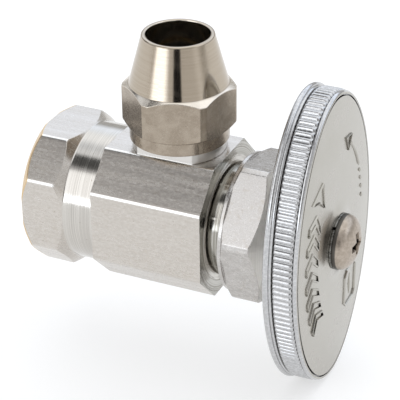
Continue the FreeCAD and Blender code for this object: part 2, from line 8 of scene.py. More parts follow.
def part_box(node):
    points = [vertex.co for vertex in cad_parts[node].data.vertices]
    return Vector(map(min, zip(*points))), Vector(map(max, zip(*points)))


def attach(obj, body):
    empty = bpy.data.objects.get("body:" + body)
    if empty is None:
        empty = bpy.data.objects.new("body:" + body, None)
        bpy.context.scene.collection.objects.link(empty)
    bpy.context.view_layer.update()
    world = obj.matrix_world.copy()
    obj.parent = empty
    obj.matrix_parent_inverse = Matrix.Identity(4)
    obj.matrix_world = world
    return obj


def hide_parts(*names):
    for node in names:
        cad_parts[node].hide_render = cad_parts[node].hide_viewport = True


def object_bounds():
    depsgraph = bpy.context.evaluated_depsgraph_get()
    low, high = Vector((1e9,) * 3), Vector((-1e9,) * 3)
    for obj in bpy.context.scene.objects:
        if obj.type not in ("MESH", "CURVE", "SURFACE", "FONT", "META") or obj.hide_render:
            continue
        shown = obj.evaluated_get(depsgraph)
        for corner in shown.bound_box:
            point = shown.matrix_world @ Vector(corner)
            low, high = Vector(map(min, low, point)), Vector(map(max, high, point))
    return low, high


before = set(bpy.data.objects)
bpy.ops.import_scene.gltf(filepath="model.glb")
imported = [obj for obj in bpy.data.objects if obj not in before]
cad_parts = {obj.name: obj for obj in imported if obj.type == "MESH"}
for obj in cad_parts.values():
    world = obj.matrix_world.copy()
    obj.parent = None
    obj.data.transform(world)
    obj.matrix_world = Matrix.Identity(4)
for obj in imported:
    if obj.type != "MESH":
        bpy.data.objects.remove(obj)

cad_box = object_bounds()
MM = 0.001
TURN = 2 * math.pi


# ---------------------------------------------------------------- sizes, in millimetres from the CAD nodes

def limits(node):
    """Lowest and highest corner of a CAD node, in millimetres."""
    low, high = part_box(node)
    return low / MM, high / MM


body_high = limits("valve_body")[1]
nut_low, nut_high = limits("outlet_nut")
packing_low, packing_high = limits("packing_nut")
handle_low, handle_high = limits("handle")
washer_low, washer_high = limits("screw_lock_washer")
screw_low, screw_high = limits("handle_screw")

OUTLET_X = (nut_low.x + nut_high.x) / 2
FLAT = body_high.y                    # from the axis to a flat of the octagonal bar
CORNER = FLAT - 7.4                   # half width of the flats that face along Y and Z
EDGE = 0.40                           # rounding of the bar's long edges
FINE_EDGE = 0.12                      # rounding of turned and milled edges
NECK_START, NECK_END, NECK_R = 9.8, 16.8, 15.25
INLET_FACE_R = 15.7
BLOCK_END = 42.1
COLLAR_R, COLLAR_END = 12.4, 45.6
FACE_GROOVE_R, FACE_GROOVE_DEPTH = 13.7, 0.5
BOSS_THREAD_R, BOSS_END = 11.9, body_high.x
THREAD_DEPTH = 0.7
FINE_PITCH = 1.27
INLET_THREAD_R, INLET_THREAD_LENGTH, INLET_LEAD_IN = 10.55, 14.0, 0.5
INLET_PITCH, INLET_THREAD_DEPTH = 1.814, 1.05
INLET_WAY_R, INLET_WAY_END = 7.6, 20.8
ORIFICE_R, SEAT_X, SEAT_HEIGHT, SEAT_R, CHAMBER_R = 4.4, 25.0, 0.8, 6.0, 8.05
OUTLET_ROOT = 10.0
OUTLET_COLLAR_R, OUTLET_COLLAR_HALF, OUTLET_COLLAR_TOP = 10.0, 7.8, 17.6
OUTLET_THREAD_R, OUTLET_TOP = 8.65, body_high.z
SOCKET_R, SOCKET_FLOOR, SOCKET_BEVEL, PORT_R, PORT_FLOOR = 6.55, 18.5, 1.2, 5.5, 5.0

NUT_FLAT, NUT_CORNER_R, NUT_PHASE = 10.8, 12.05, math.radians(49.2)
NUT_CONE_R, NUT_HEX_END, NUT_CHAMFER = 10.5, 29.0, 1.1
NUT_CHAMFER_SLOPE = (NUT_CORNER_R - NUT_CONE_R) / NUT_CHAMFER
NUT_CHAMFER_AT = NUT_CORNER_R + NUT_CHAMFER_SLOPE * NUT_HEX_END
PACKING_FLAT, PACKING_CORNER_R, PACKING_PHASE = 14.6, 16.5, math.radians(20)

HANDLE_TURN = math.radians(2.5)
HALF_HEIGHT, HALF_WIDTH, OVAL_POWER = 34.45, 22.45, 1.93
HANDLE_BACK, HANDLE_FRONT, PAD_X = handle_low.x + 0.4, 66.1, handle_high.x
RIBS, RIB_STEPS = 136, 6
# Cross-section of a raised line: share of its width to the side, share of its height
RAISED_SECTION = (
    (0.62, -0.35), (0.5, 0.3), (0.3, 1.0), (0.0, 1.12), (-0.3, 1.0), (-0.5, 0.3), (-0.62, -0.35),
)


# ---------------------------------------------------------------- outlines and lofts

def softened(points, closed=True, steps=4):
    """Rounds each corner (u, v, radius) of an outline with a short curve of the same number of points."""
    result = []
    count = len(points)
    for i, (u, v, radius) in enumerate(points):
        here = Vector((u, v))
        if radius <= 0 or (not closed and i in (0, count - 1)):
            result.append(here)
            continue
        before = Vector(points[i - 1][:2]) - here
        after = Vector(points[(i + 1) % count][:2]) - here
        reach = min(radius, 0.42 * before.length, 0.42 * after.length)
        start = here + before.normalized() * reach if before.length > 1e-6 else here
        end = here + after.normalized() * reach if after.length > 1e-6 else here
        for k in range(steps + 1):
            t = k / steps
            result.append(start * (1 - t) ** 2 + here * 2 * t * (1 - t) + end * t ** 2)
    return result


def subdivided(outline, longest):
    """Splits the long sides of a closed outline into equal steps."""
    result = []
    for i, here in enumerate(outline):
        after = outline[(i + 1) % len(outline)]
        steps = max(1, round((after - here).length / longest))
        result += [here.lerp(after, k / steps) for k in range(steps)]
    return result


def circle_outline(radius, steps):
    angles = [TURN * k / steps for k in range(steps)]
    return [Vector((radius * math.cos(angle), radius * math.sin(angle))) for angle in angles]


def nut_outline(flat, corner_r, phase, longest):
    """A hexagon with its corners turned down to corner_r."""
    half = math.acos(flat / corner_r)
    points = []
    for side in range(6):
        middle = phase + TURN * side / 6
        for angle in (middle - half, middle + half):
            points.append((corner_r * math.cos(angle), corner_r * math.sin(angle), FINE_EDGE))
        arc = TURN / 12 - half
        for k in (1, 2, 3):
            angle = middle + half + 2 * arc * k / 4
            points.append((corner_r * math.cos(angle), corner_r * math.sin(angle), 0))
    return subdivided(softened(points, steps=2), longest)


def mesh_object(name, vertices, faces):
    mesh = bpy.data.meshes.new(name)
    mesh.from_pydata([tuple(c * MM for c in v) for v in vertices], [], faces)
    work = bmesh.new()
    work.from_mesh(mesh)
    bmesh.ops.remove_doubles(work, verts=work.verts, dist=2e-7)
    bmesh.ops.recalc_face_normals(work, faces=work.faces)
    work.to_mesh(mesh)
    work.free()
    piece = bpy.data.objects.new(name, mesh)
    bpy.context.scene.collection.objects.link(piece)
    return piece


def skin(name, columns, ring=True):
    """Joins columns of points into a shell. The columns go round, and so does each column if ring is set."""
    rows = len(columns[0])
    vertices = [p for column in columns for p in column]
    faces = []
    for i in range(len(columns)):
        after = (i + 1) % len(columns)
        for k in range(rows if ring else rows - 1):
            above = (k + 1) % rows
            faces.append((i * rows + k, after * rows + k, after * rows + above, i * rows + above))
    return mesh_object(name, vertices, faces)


def along_x(station, radius, angle):
    return (station, radius * math.cos(angle), radius * math.sin(angle))


def along_outlet(station, radius, angle):
    return (OUTLET_X + radius * math.cos(angle), radius * math.sin(angle), station)


def loft(name, outline, profile, place, ring=True):
    """A turned piece whose section is outline: profile(reach, angle) gives its (station, radius) points."""
    columns = []
    for point in outline:
        angle = math.atan2(point.y, point.x)
        columns.append([place(p[0], p[1], angle) for p in profile(point.length, angle)])
    return skin(name, columns, ring)


def helix_rows(start, end, radius, depth, pitch, angle, steps=10):
    """Points of a helical V thread between two stations, with its depth fading out at both ends."""
    count = max(2, round(abs(end - start) / pitch * steps))
    rows = []
    for k in range(count + 1):
        station = start + (end - start) * k / count
        phase = (station / pitch - angle / TURN) % 1.0
        ridge = min(1.0, max(0.0, 1.6 * (1 - abs(2 * phase - 1)) - 0.15))
        fade = min(1.0, min(k, count - k) / steps)
        rows.append(Vector((station, radius + depth * ridge * fade)))
    return rows


def combine(piece, other, operation):
    """Adds or cuts another closed shape, and removes it."""
    change = piece.modifiers.new(operation, "BOOLEAN")
    change.operation = operation
    change.solver = "EXACT"
    change.object = other
    apply_modifiers(piece)
    bpy.data.objects.remove(other)
    return piece


def apply_modifiers(piece):
    graph = bpy.context.evaluated_depsgraph_get()
    mesh = bpy.data.meshes.new_from_object(piece.evaluated_get(graph))
    piece.modifiers.clear()
    piece.data = mesh
    mesh.name = piece.name


def join(piece, *others):
    """Puts the meshes of other pieces into the first."""
    work = bmesh.new()
    for source in (piece, *others):
        work.from_mesh(source.data)
    work.to_mesh(piece.data)
    work.free()
    for other in others:
        bpy.data.objects.remove(other)
    return piece


def finished(piece, material, body, slot, *nodes, sharp=28):
    """Shades a piece smooth between its edges, gives it its finish and hangs it on its body."""
    mesh = piece.data
    mesh.polygons.foreach_set("use_smooth", [True] * len(mesh.polygons))
    mesh.set_sharp_from_angle(angle=math.radians(sharp))
    weighted = piece.modifiers.new("flat faces stay flat", "WEIGHTED_NORMAL")
    weighted.keep_sharp = True
    weighted.weight = 100
    mesh.materials.clear()
    mesh.materials.append(material)
    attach(piece, body)
    if nodes:
        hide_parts(*nodes)
    return piece


# ---------------------------------------------------------------- materials

class Finish:
    """A node material around one Principled shader, with helpers for its maps."""

    def __init__(self, name, **constants):
        self.material = bpy.data.materials.new(name)
        self.material.use_nodes = True
        self.tree = self.material.node_tree
        self.shader = self.tree.nodes["Principled BSDF"]
        for socket, number in constants.items():
            self.shader.inputs[socket.replace("_", " ")].default_value = number
        self.place = self.node("ShaderNodeTexCoord").outputs["Object"]

    def node(self, kind, settings=(), **inputs):
        made = self.tree.nodes.new(kind)
        for key, setting in dict(settings).items():
            setattr(made, key, setting)
        for key, content in inputs.items():
            socket = made.inputs[int(key[1:])] if key[0] == "i" and key[1:].isdigit() else made.inputs[key]
            if isinstance(content, bpy.types.NodeSocket):
                self.tree.links.new(content, socket)
            else:
                socket.default_value = content
        return made

    def math(self, operation, a, b=0.0, clamp=False):
        made = self.node("ShaderNodeMath", {"operation": operation, "use_clamp": clamp}, i0=a, i1=b)
        return made.outputs[0]

    def scaled(self, x, y, z):
        """Object coordinates in metres times a scale along each axis."""
        made = self.node("ShaderNodeVectorMath", {"operation": "MULTIPLY"}, i0=self.place, i1=(x, y, z))
        return made.outputs[0]

    def noise(self, vector, scale=1.0, detail=2.0, roughness=0.5, distortion=0.0):
        made = self.node(
            "ShaderNodeTexNoise", Vector=vector, Scale=scale, Detail=detail, Roughness=roughness,
            Distortion=distortion,
        )
        return made.outputs["Fac"]

    def turned(self, axis, centre=0.0):
        """Station along an axis and radius about it, in millimetres, as a vector for lathe marks."""
        parts = self.node("ShaderNodeSeparateXYZ", Vector=self.place).outputs
        if axis == "X":
            station, across, up = parts[0], parts[1], parts[2]
        else:
            station, across, up = parts[2], self.math("SUBTRACT", parts[0], centre * MM), parts[1]
        radius = self.math("SQRT", self.math("ADD", self.math("POWER", across, 2), self.math("POWER", up, 2)))
        self.up = self.math("MULTIPLY", parts[2], 1 / MM)
        self.radius = self.math("MULTIPLY", radius, 1 / MM)
        self.station = self.math("MULTIPLY", station, 1 / MM)
        self.angle = self.math("ARCTAN2", across, up)
        angle = self.math("MULTIPLY", self.angle, 0.25)
        return self.node("ShaderNodeCombineXYZ", i0=self.station, i1=self.radius, i2=angle).outputs[0]

    def stretched(self, vector, x, y, z):
        settings = {"operation": "MULTIPLY"}
        return self.node("ShaderNodeVectorMath", settings, i0=vector, i1=(x, y, z)).outputs[0]

    def edge_wear_and_highlight(self):
        """Painted highlight along the long edges of the octagonal bar, partly worn bright edges: strong on
        its upper half and faint on its lower.
        """
        millimetres = self.stretched(self.place, 1000, 1000, 1000)
        parts = self.node("ShaderNodeSeparateXYZ", Vector=millimetres).outputs
        across, up = self.math("ABSOLUTE", parts[1]), self.math("ABSOLUTE", parts[2])
        square = self.math("SUBTRACT", self.math("MAXIMUM", across, up), FLAT)
        slant = self.math("SUBTRACT", self.math("ADD", across, up), FLAT + CORNER)
        slant = self.math("MULTIPLY", slant, 0.7071)
        from_edge = self.math("ABSOLUTE", self.math("SUBTRACT", square, slant))
        apart = self.between(from_edge, 0.10, 0.34, 0.85, 0.0)
        outside = self.between(self.math("MAXIMUM", square, slant), -0.30, -0.20)
        # the painted highlight is kept strong on the upper half and faint below
        highlight_upper_half = self.between(parts[2], -4.0, 4.0, 0.15, 1.0)
        return self.math("MULTIPLY", self.math("MULTIPLY", apart, outside), highlight_upper_half)

    def between(self, value, low, high, to_low=0.0, to_high=1.0):
        made = self.node(
            "ShaderNodeMapRange", {"interpolation_type": "SMOOTHSTEP"}, Value=value, i1=low, i2=high,
            i3=to_low, i4=to_high,
        )
        return made.outputs[0]

    def mix(self, factor, a, b):
        made = self.node("ShaderNodeMix", {"data_type": "RGBA"})
        for socket, content in ((made.inputs[0], factor), (made.inputs[6], a), (made.inputs[7], b)):
            if isinstance(content, bpy.types.NodeSocket):
                self.tree.links.new(content, socket)
            else:
                socket.default_value = content
        return made.outputs[2]

    def blend(self, factor, a, b):
        share_of_a = self.math("MULTIPLY", a, self.math("SUBTRACT", 1.0, factor))
        return self.math("ADD", share_of_a, self.math("MULTIPLY", b, factor))

    def shaded_in_corners(self, tone, reach, dark, amount=0.7):
        """Painted shade: darkens corners and grooves narrower than reach, in millimetres, by how little open
        sky they see.
        """
        open_sky = self.node(
            "ShaderNodeAmbientOcclusion", {"samples": 6, "only_local": True}, Distance=reach * MM
        ).outputs["AO"]
        return self.mix(self.between(open_sky, 0.30, 0.85, amount, 0.0), tone, dark)

    def bump(self, height, distance, strength=1.0, normal=None):
        inputs = {"Height": height, "Distance": distance * MM, "Strength": strength}
        if normal is not None:
            inputs["Normal"] = normal
        return self.node("ShaderNodeBump", **inputs).outputs[0]

    def finish(self, colour, roughness, normal):
        for socket, content in (("Base Color", colour), ("Roughness", roughness), ("Normal", normal)):
            self.tree.links.new(content, self.shader.inputs[socket])
        return self.material


def rgb(r, g, b):
    return (r, g, b, 1.0)


def specks(look, scale, share):
    """Sparse small spots: dust, pits and plating nibs."""
    cells = look.node(
        "ShaderNodeTexVoronoi", {"feature": "F1"}, Vector=look.place, Scale=scale, Randomness=1.0
    )
    size = look.noise(look.scaled(1, 1, 1), scale * 0.45, 1.0)
    near = look.between(cells.outputs["Distance"], 0.05, 0.16, 1.0, 0.0)
    return look.math("MULTIPLY", near, look.between(size, 1.0 - share, 1.0 - share + 0.06))


def body_chrome():
    """Satin plate: drawing lines along the bar's flats, lathe marks on what was turned."""
    look = Finish("body_satin_chrome", Metallic=1.0)
    lathe = look.turned("X")
    was_turned = look.between(look.radius, NECK_R + 0.02, NECK_R + 0.08, 1.0, 0.0)
    end_face = look.between(look.station, BLOCK_END - 0.12, BLOCK_END - 0.02)
    mouth = look.math("SUBTRACT", look.radius, look.station)
    mouth = look.between(mouth, INLET_FACE_R - 0.35, INLET_FACE_R - 0.15)
    inside = look.between(look.radius, COLLAR_R - 1.0, COLLAR_R - 0.9, 1.0, 0.0)
    inside = look.math("MULTIPLY", inside, look.between(look.station, COLLAR_END, COLLAR_END + 0.1, 1.0, 0.0))
    inside = look.math("MULTIPLY", inside, look.math("LESS_THAN", look.up, 13.0))
    mouth = look.math("MAXIMUM", mouth, look.math("LESS_THAN", look.station, 0.05))
    bare = look.math("MAXIMUM", mouth, inside)
    drawn = look.noise(look.scaled(90, 2600, 2600), 1.0, 4.0, 0.65)
    broad = look.noise(look.scaled(40, 700, 700), 1.0, 2.0, 0.5)
    rings = look.noise(look.stretched(lathe, 4.2, 4.2, 1.2), 1.0, 4.0, 0.65)
    cloud = look.noise(look.scaled(1100, 2100, 2100), 1.0, 4.0, 0.65, 0.3)
    spots = specks(look, 1000, 0.42)
    flat_tone = look.mix(look.between(cloud, 0.36, 0.66), rgb(0.54, 0.502, 0.457), rgb(0.60, 0.565, 0.522))
    stain = look.noise(look.scaled(700, 1100, 1100), 1.0, 5.0, 0.7, 0.6)
    flat_tone = look.mix(look.between(stain, 0.52, 0.74, 0.0, 0.24), flat_tone, rgb(0.47, 0.39, 0.31))
    flat_tone = look.mix(look.between(drawn, 0.42, 0.70, 0.0, 0.20), flat_tone, rgb(0.69, 0.67, 0.64))
    # painted highlight, partly edge wear, near-white along the bar's long edges
    flat_tone = look.mix(look.edge_wear_and_highlight(), flat_tone, rgb(0.97, 0.965, 0.95))
    nicks = look.math("MULTIPLY", specks(look, 1500, 0.46), look.between(look.station, 2.0, 9.0, 0.9, 0.25))
    flat_tone = look.mix(nicks, flat_tone, rgb(0.92, 0.92, 0.92))
    turned_tone = look.mix(look.between(rings, 0.34, 0.66), rgb(0.48, 0.455, 0.42), rgb(0.62, 0.595, 0.555))
    tone = look.mix(was_turned, flat_tone, turned_tone)
    face_tone = look.mix(look.between(rings, 0.4, 0.6), rgb(0.27, 0.255, 0.22), rgb(0.50, 0.485, 0.45))
    tone = look.mix(end_face, tone, face_tone)
    on_collar = look.between(look.up, FLAT + 0.1, FLAT + 0.3)
    tone = look.mix(on_collar, tone, rgb(0.68, 0.66, 0.63))
    tone = look.mix(bare, tone, rgb(0.66, 0.49, 0.29))
    tone = look.mix(look.math("MULTIPLY", spots, 0.7), tone, rgb(0.26, 0.21, 0.16))
    # painted shade in the corners and grooves of the body
    tone = look.shaded_in_corners(tone, 0.5, rgb(0.10, 0.09, 0.075), 0.75)
    flat_rough = look.between(look.math("ADD", broad, cloud), 0.7, 1.3, 0.19, 0.30)
    turned_rough = look.between(rings, 0.3, 0.7, 0.09, 0.17)
    roughness = look.blend(was_turned, flat_rough, turned_rough)
    roughness = look.blend(on_collar, roughness, look.between(cloud, 0.3, 0.7, 0.30, 0.40))
    height = look.blend(was_turned, look.math("MULTIPLY", drawn, 0.6), look.math("MULTIPLY", rings, 1.4))
    normal = look.bump(height, 0.006, 1.0)
    normal = look.bump(look.math("ADD", cloud, look.math("MULTIPLY", spots, -0.6)), 0.003, 0.8, normal)
    return look.finish(tone, roughness, normal)


def nut_nickel():
    """Warm satin nickel with fine lathe lines round the nose."""
    look = Finish("outlet_nut_nickel", Metallic=1.0)
    lathe = look.turned("Z", OUTLET_X)
    on_hex = look.between(look.station, 29.8, 30.3, 1.0, 0.0)
    rings = look.noise(look.stretched(lathe, 6.0, 6.0, 0.8), 1.0, 3.0, 0.6)
    grain = look.noise(look.scaled(2600, 2600, 2600), 1.0, 3.0, 0.7)
    cloud = look.noise(look.scaled(300, 300, 380), 1.0, 3.0, 0.6, 0.5)
    spots = specks(look, 1100, 0.40)
    tone = look.mix(look.between(cloud, 0.35, 0.68), rgb(0.315, 0.263, 0.206), rgb(0.39, 0.333, 0.267))
    tone = look.mix(look.between(grain, 0.45, 0.72, 0.0, 0.35), tone, rgb(0.46, 0.40, 0.335))
    slant = look.math("ADD", look.radius, look.math("MULTIPLY", look.station, NUT_CHAMFER_SLOPE))
    chamfered = look.between(slant, NUT_CHAMFER_AT - 0.20, NUT_CHAMFER_AT - 0.06)
    tone = look.mix(chamfered, tone, rgb(0.72, 0.66, 0.58))
    below_shoulder = look.math("LESS_THAN", look.station, 31.2)
    low_bore = look.math("MULTIPLY", look.math("LESS_THAN", look.radius, 8.85), below_shoulder)
    bore_painted_paler = look.math("MAXIMUM", low_bore, look.math("LESS_THAN", look.radius, 6.85))
    cone_tone = look.mix(look.between(rings, 0.3, 0.7), rgb(0.425, 0.365, 0.29), rgb(0.47, 0.41, 0.335))
    tone = look.mix(on_hex, cone_tone, tone)
    # painted light: the bore is painted paler than the nut, lifting its shaded inside
    tone = look.mix(bore_painted_paler, tone, rgb(0.72, 0.66, 0.57))
    tone = look.mix(look.math("MULTIPLY", spots, 0.6), tone, rgb(0.20, 0.16, 0.13))
    # painted shade in the corners and grooves of the nut
    tone = look.shaded_in_corners(tone, 0.4, rgb(0.07, 0.055, 0.04), 0.6)
    cone_rough = look.between(cloud, 0.3, 0.7, 0.09, 0.14)
    roughness = look.blend(on_hex, cone_rough, look.between(grain, 0.3, 0.7, 0.17, 0.29))
    normal = look.bump(rings, 0.0012, 1.0)
    normal = look.bump(look.math("ADD", grain, look.math("MULTIPLY", spots, -1.0)), 0.0042, 0.8, normal)
    return look.finish(tone, roughness, normal)


def packing_chrome():
    """Plated and mottled on the flats; where the chamfer was turned, clean and grey-green, with painted light
    that makes it near-white.
    """
    look = Finish("packing_nut_chrome", Metallic=1.0)
    lathe = look.turned("X")
    rings = look.noise(look.stretched(lathe, 7.0, 7.0, 0.8), 1.0, 3.0, 0.6)
    cloud = look.noise(look.scaled(800, 1100, 1100), 1.0, 5.0, 0.72, 0.8)
    stain = look.noise(look.scaled(420, 420, 420), 1.0, 4.0, 0.7, 0.6)
    fine = look.noise(look.scaled(2400, 2400, 2400), 1.0, 3.0, 0.7)
    spots = specks(look, 1000, 0.40)
    cone_slope, flats_end = 0.573, 53.2
    cone = look.math("ADD", look.station, look.math("MULTIPLY", look.radius, cone_slope))
    cone = look.math("SUBTRACT", cone, flats_end + PACKING_CORNER_R * cone_slope)
    on_cone = look.between(cone, -0.06, 0.02)
    tone = look.mix(look.between(cloud, 0.38, 0.64), rgb(0.49, 0.47, 0.45), rgb(0.59, 0.57, 0.55))
    tone = look.mix(look.between(fine, 0.5, 0.75, 0.0, 0.5), tone, rgb(0.72, 0.705, 0.69))
    tone = look.mix(look.between(stain, 0.54, 0.70, 0.0, 0.45), tone, rgb(0.46, 0.415, 0.36))
    tone = look.mix(look.math("MULTIPLY", spots, 0.5), tone, rgb(0.34, 0.30, 0.26))
    # the turned chamfer is near-white: partly its clean turned finish, partly painted light
    turned_tone = look.mix(look.between(rings, 0.35, 0.65), rgb(0.88, 0.865, 0.835), rgb(0.97, 0.955, 0.93))
    tone = look.mix(on_cone, tone, turned_tone)
    # painted shade in the corners and grooves of the packing nut
    tone = look.shaded_in_corners(tone, 0.5, rgb(0.10, 0.09, 0.075), 0.6)
    flat_rough = look.between(cloud, 0.3, 0.7, 0.19, 0.30)
    roughness = look.blend(on_cone, flat_rough, look.between(rings, 0.3, 0.7, 0.38, 0.50))
    flat_height = look.math("ADD", cloud, look.math("MULTIPLY", fine, 0.35))
    height = look.blend(on_cone, flat_height, look.math("MULTIPLY", rings, 0.4))
    return look.finish(tone, roughness, look.bump(height, 0.007, 1.0))


def handle_chrome():
    """Bright plate over a die casting: clean ribs, a faintly wavy face with dust specks, and painted shade in
    its corners.
    """
    look = Finish("handle_bright_chrome", Metallic=1.0)
    parts = look.node("ShaderNodeSeparateXYZ", Vector=look.place).outputs
    on_face = look.between(parts[0], (HANDLE_FRONT - 0.15) * MM, (HANDLE_FRONT - 0.05) * MM)
    look.turned("X")
    oval = look.math(
        "ADD", look.math("POWER", look.math("DIVIDE", parts[1], (HALF_WIDTH - 1.4) * MM), 2.0),
        look.math("POWER", look.math("DIVIDE", parts[2], (HALF_HEIGHT - 1.4) * MM), 2.0),
    )
    behind_face = look.math("LESS_THAN", parts[0], 64.7 * MM)
    inside = look.math("MULTIPLY", behind_face, look.math("LESS_THAN", oval, 0.98))
    wave = look.noise(look.scaled(150, 150, 150), 1.0, 3.0, 0.55, 0.3)
    fine = look.noise(look.scaled(1900, 1900, 1900), 1.0, 3.0, 0.6)
    spots = specks(look, 700, 0.37)
    face = look.mix(look.between(wave, 0.30, 0.70), rgb(0.44, 0.42, 0.375), rgb(0.485, 0.465, 0.425))
    rim = look.mix(look.between(fine, 0.4, 0.7), rgb(0.50, 0.50, 0.505), rgb(0.62, 0.62, 0.625))
    tone = look.mix(on_face, rim, face)
    tone = look.mix(inside, tone, rgb(0.88, 0.87, 0.85))
    tone = look.mix(look.math("MULTIPLY", spots, 0.45), tone, rgb(0.30, 0.29, 0.26))
    # painted shade in the handle's corners, grooves and marks
    tone = look.shaded_in_corners(tone, 0.55, rgb(0.07, 0.065, 0.055), 0.9)
    rim_rough = look.between(fine, 0.3, 0.7, 0.10, 0.20)
    roughness = look.blend(on_face, rim_rough, look.between(wave, 0.3, 0.7, 0.17, 0.30))
    roughness = look.math("ADD", roughness, look.math("MULTIPLY", inside, 0.30))
    normal = look.bump(wave, 0.015, 0.7)
    normal = look.bump(look.math("ADD", fine, look.math("MULTIPLY", spots, -0.8)), 0.004, 1.0, normal)
    return look.finish(tone, roughness, normal)


def screw_nickel():
    look = Finish("screw_nickel", Metallic=1.0)
    parts = look.node("ShaderNodeSeparateXYZ", Vector=look.place).outputs
    on_side = look.between(parts[0], (washer_high.x + 0.75) * MM, (washer_high.x + 0.95) * MM, 1.0, 0.0)
    grain = look.noise(look.scaled(1700, 1700, 1700), 1.0, 4.0, 0.7)
    cloud = look.noise(look.scaled(420, 420, 420), 1.0, 3.0, 0.6)
    spots = specks(look, 1200, 0.42)
    tone = look.mix(look.between(grain, 0.38, 0.66), rgb(0.38, 0.325, 0.27), rgb(0.48, 0.415, 0.35))
    tone = look.mix(look.math("MULTIPLY", spots, 0.6), tone, rgb(0.22, 0.18, 0.15))
    tone = look.mix(on_side, tone, rgb(0.10, 0.093, 0.083))
    look.turned("X")
    # painted shade: the bottom of the cross recess is painted near-black
    low = look.between(look.station, screw_high.x - 0.75, screw_high.x - 0.6, 1.0, 0.0)
    recess = look.math("MULTIPLY", low, look.between(look.radius, 2.45, 2.6, 1.0, 0.0))
    tone = look.mix(recess, tone, rgb(0.03, 0.026, 0.022))
    # painted shade, near-black, round and under the screw head
    tone = look.shaded_in_corners(tone, 0.9, rgb(0.02, 0.017, 0.014), 0.9)
    roughness = look.between(cloud, 0.3, 0.7, 0.26, 0.40)
    return look.finish(tone, roughness, look.bump(look.math("ADD", grain, cloud), 0.008, 0.9))


def dark_steel():
    look = Finish("lock_washer_steel", Metallic=1.0)
    grain = look.noise(look.scaled(1500, 1500, 1500), 1.0, 4.0, 0.7)
    tone = look.mix(look.between(grain, 0.4, 0.65), rgb(0.13, 0.125, 0.115), rgb(0.34, 0.33, 0.31))
    return look.finish(tone, look.between(grain, 0.3, 0.7, 0.22, 0.40), look.bump(grain, 0.006))


def bare_brass(name="machined_brass", axis="X"):
    look = Finish(name, Metallic=1.0)
    lathe = look.turned(axis, OUTLET_X)
    rings = look.noise(look.stretched(lathe, 5.0, 5.0, 0.6), 1.0, 4.0, 0.65)
    stain = look.noise(look.scaled(210, 210, 210), 1.0, 4.0, 0.6, 0.5)
    tone = look.mix(look.between(rings, 0.34, 0.66), rgb(0.66, 0.44, 0.19), rgb(0.87, 0.66, 0.34))
    tone = look.mix(look.between(stain, 0.52, 0.72, 0.0, 0.55), tone, rgb(0.42, 0.26, 0.12))
    return look.finish(tone, look.between(rings, 0.3, 0.7, 0.18, 0.34), look.bump(rings, 0.008))


def black_rubber():
    look = Finish("moulded_rubber", Metallic=0.0)
    grain = look.noise(look.scaled(2200, 2200, 2200), 1.0, 5.0, 0.7)
    bloom = look.noise(look.scaled(260, 260, 260), 1.0, 3.0, 0.6)
    tone = look.mix(look.between(bloom, 0.45, 0.7), rgb(0.016, 0.016, 0.017), rgb(0.055, 0.053, 0.05))
    return look.finish(tone, look.between(grain, 0.3, 0.7, 0.48, 0.72), look.bump(grain, 0.015))


def graphite_packing():
    look = Finish("graphited_packing", Metallic=0.0)
    weave = look.noise(look.scaled(900, 2600, 2600), 1.0, 3.0, 0.6, 0.8)
    tone = look.mix(look.between(weave, 0.38, 0.66), rgb(0.035, 0.035, 0.037), rgb(0.15, 0.15, 0.155))
    return look.finish(tone, look.between(weave, 0.3, 0.7, 0.38, 0.6), look.bump(weave, 0.04))


# ---------------------------------------------------------------- valve body

def octagon():
    f, c = FLAT, CORNER
    corners = [(f, -c), (f, c), (c, f), (-c, f), (-f, c), (-f, -c), (-c, -f), (c, -f)]
    return subdivided(softened([(u, v, EDGE) for u, v in corners], steps=5), 0.55)


def body_profile(reach, angle):
    """From the inlet mouth along the outside to the handle end, and back through the water way."""
    face_r = min(INLET_FACE_R, reach - 0.01)
    chamfer = reach - face_r
    neck_drop = reach - NECK_R
    outside = [
        (0, INLET_THREAD_R + INLET_LEAD_IN, 0.08), (0, face_r, FINE_EDGE), (chamfer, reach, FINE_EDGE),
        (NECK_START - neck_drop, reach, FINE_EDGE), (NECK_START, NECK_R, 0.2), (NECK_END, NECK_R, 0.15),
        (NECK_END, reach, FINE_EDGE), (BLOCK_END, reach, FINE_EDGE), (BLOCK_END, FACE_GROOVE_R, 0.2),
        (BLOCK_END - FACE_GROOVE_DEPTH, FACE_GROOVE_R - FACE_GROOVE_DEPTH, 0.2),
        (BLOCK_END - FACE_GROOVE_DEPTH, COLLAR_R, 0.15), (COLLAR_END, COLLAR_R, 0.25),
        (COLLAR_END, BOSS_THREAD_R - THREAD_DEPTH, 0.1),
    ]
    boss_root = BOSS_THREAD_R - THREAD_DEPTH
    boss = helix_rows(COLLAR_END + 0.05, BOSS_END - 0.2, boss_root, THREAD_DEPTH, FINE_PITCH, angle)
    inside = [
        (BOSS_END, BOSS_THREAD_R - THREAD_DEPTH - 0.2, 0), (BOSS_END, CHAMBER_R, 0.1),
        (SEAT_X - SEAT_HEIGHT, CHAMBER_R, 0.3), (SEAT_X - SEAT_HEIGHT, SEAT_R, 0.2), (SEAT_X, SEAT_R, 0.2),
        (SEAT_X, ORIFICE_R, 0.15), (INLET_WAY_END, ORIFICE_R, 0.1), (INLET_WAY_END, INLET_WAY_R, 0.3),
        (INLET_THREAD_LENGTH + INLET_THREAD_R - INLET_WAY_R, INLET_WAY_R, 0.3),
        (INLET_THREAD_LENGTH, INLET_THREAD_R, 0.2),
    ]
    inlet = helix_rows(
        INLET_THREAD_LENGTH - 0.6, INLET_LEAD_IN, INLET_THREAD_R, -INLET_THREAD_DEPTH, INLET_PITCH, -angle)
    return softened(outside, closed=False) + boss + softened(inside, closed=False) + inlet


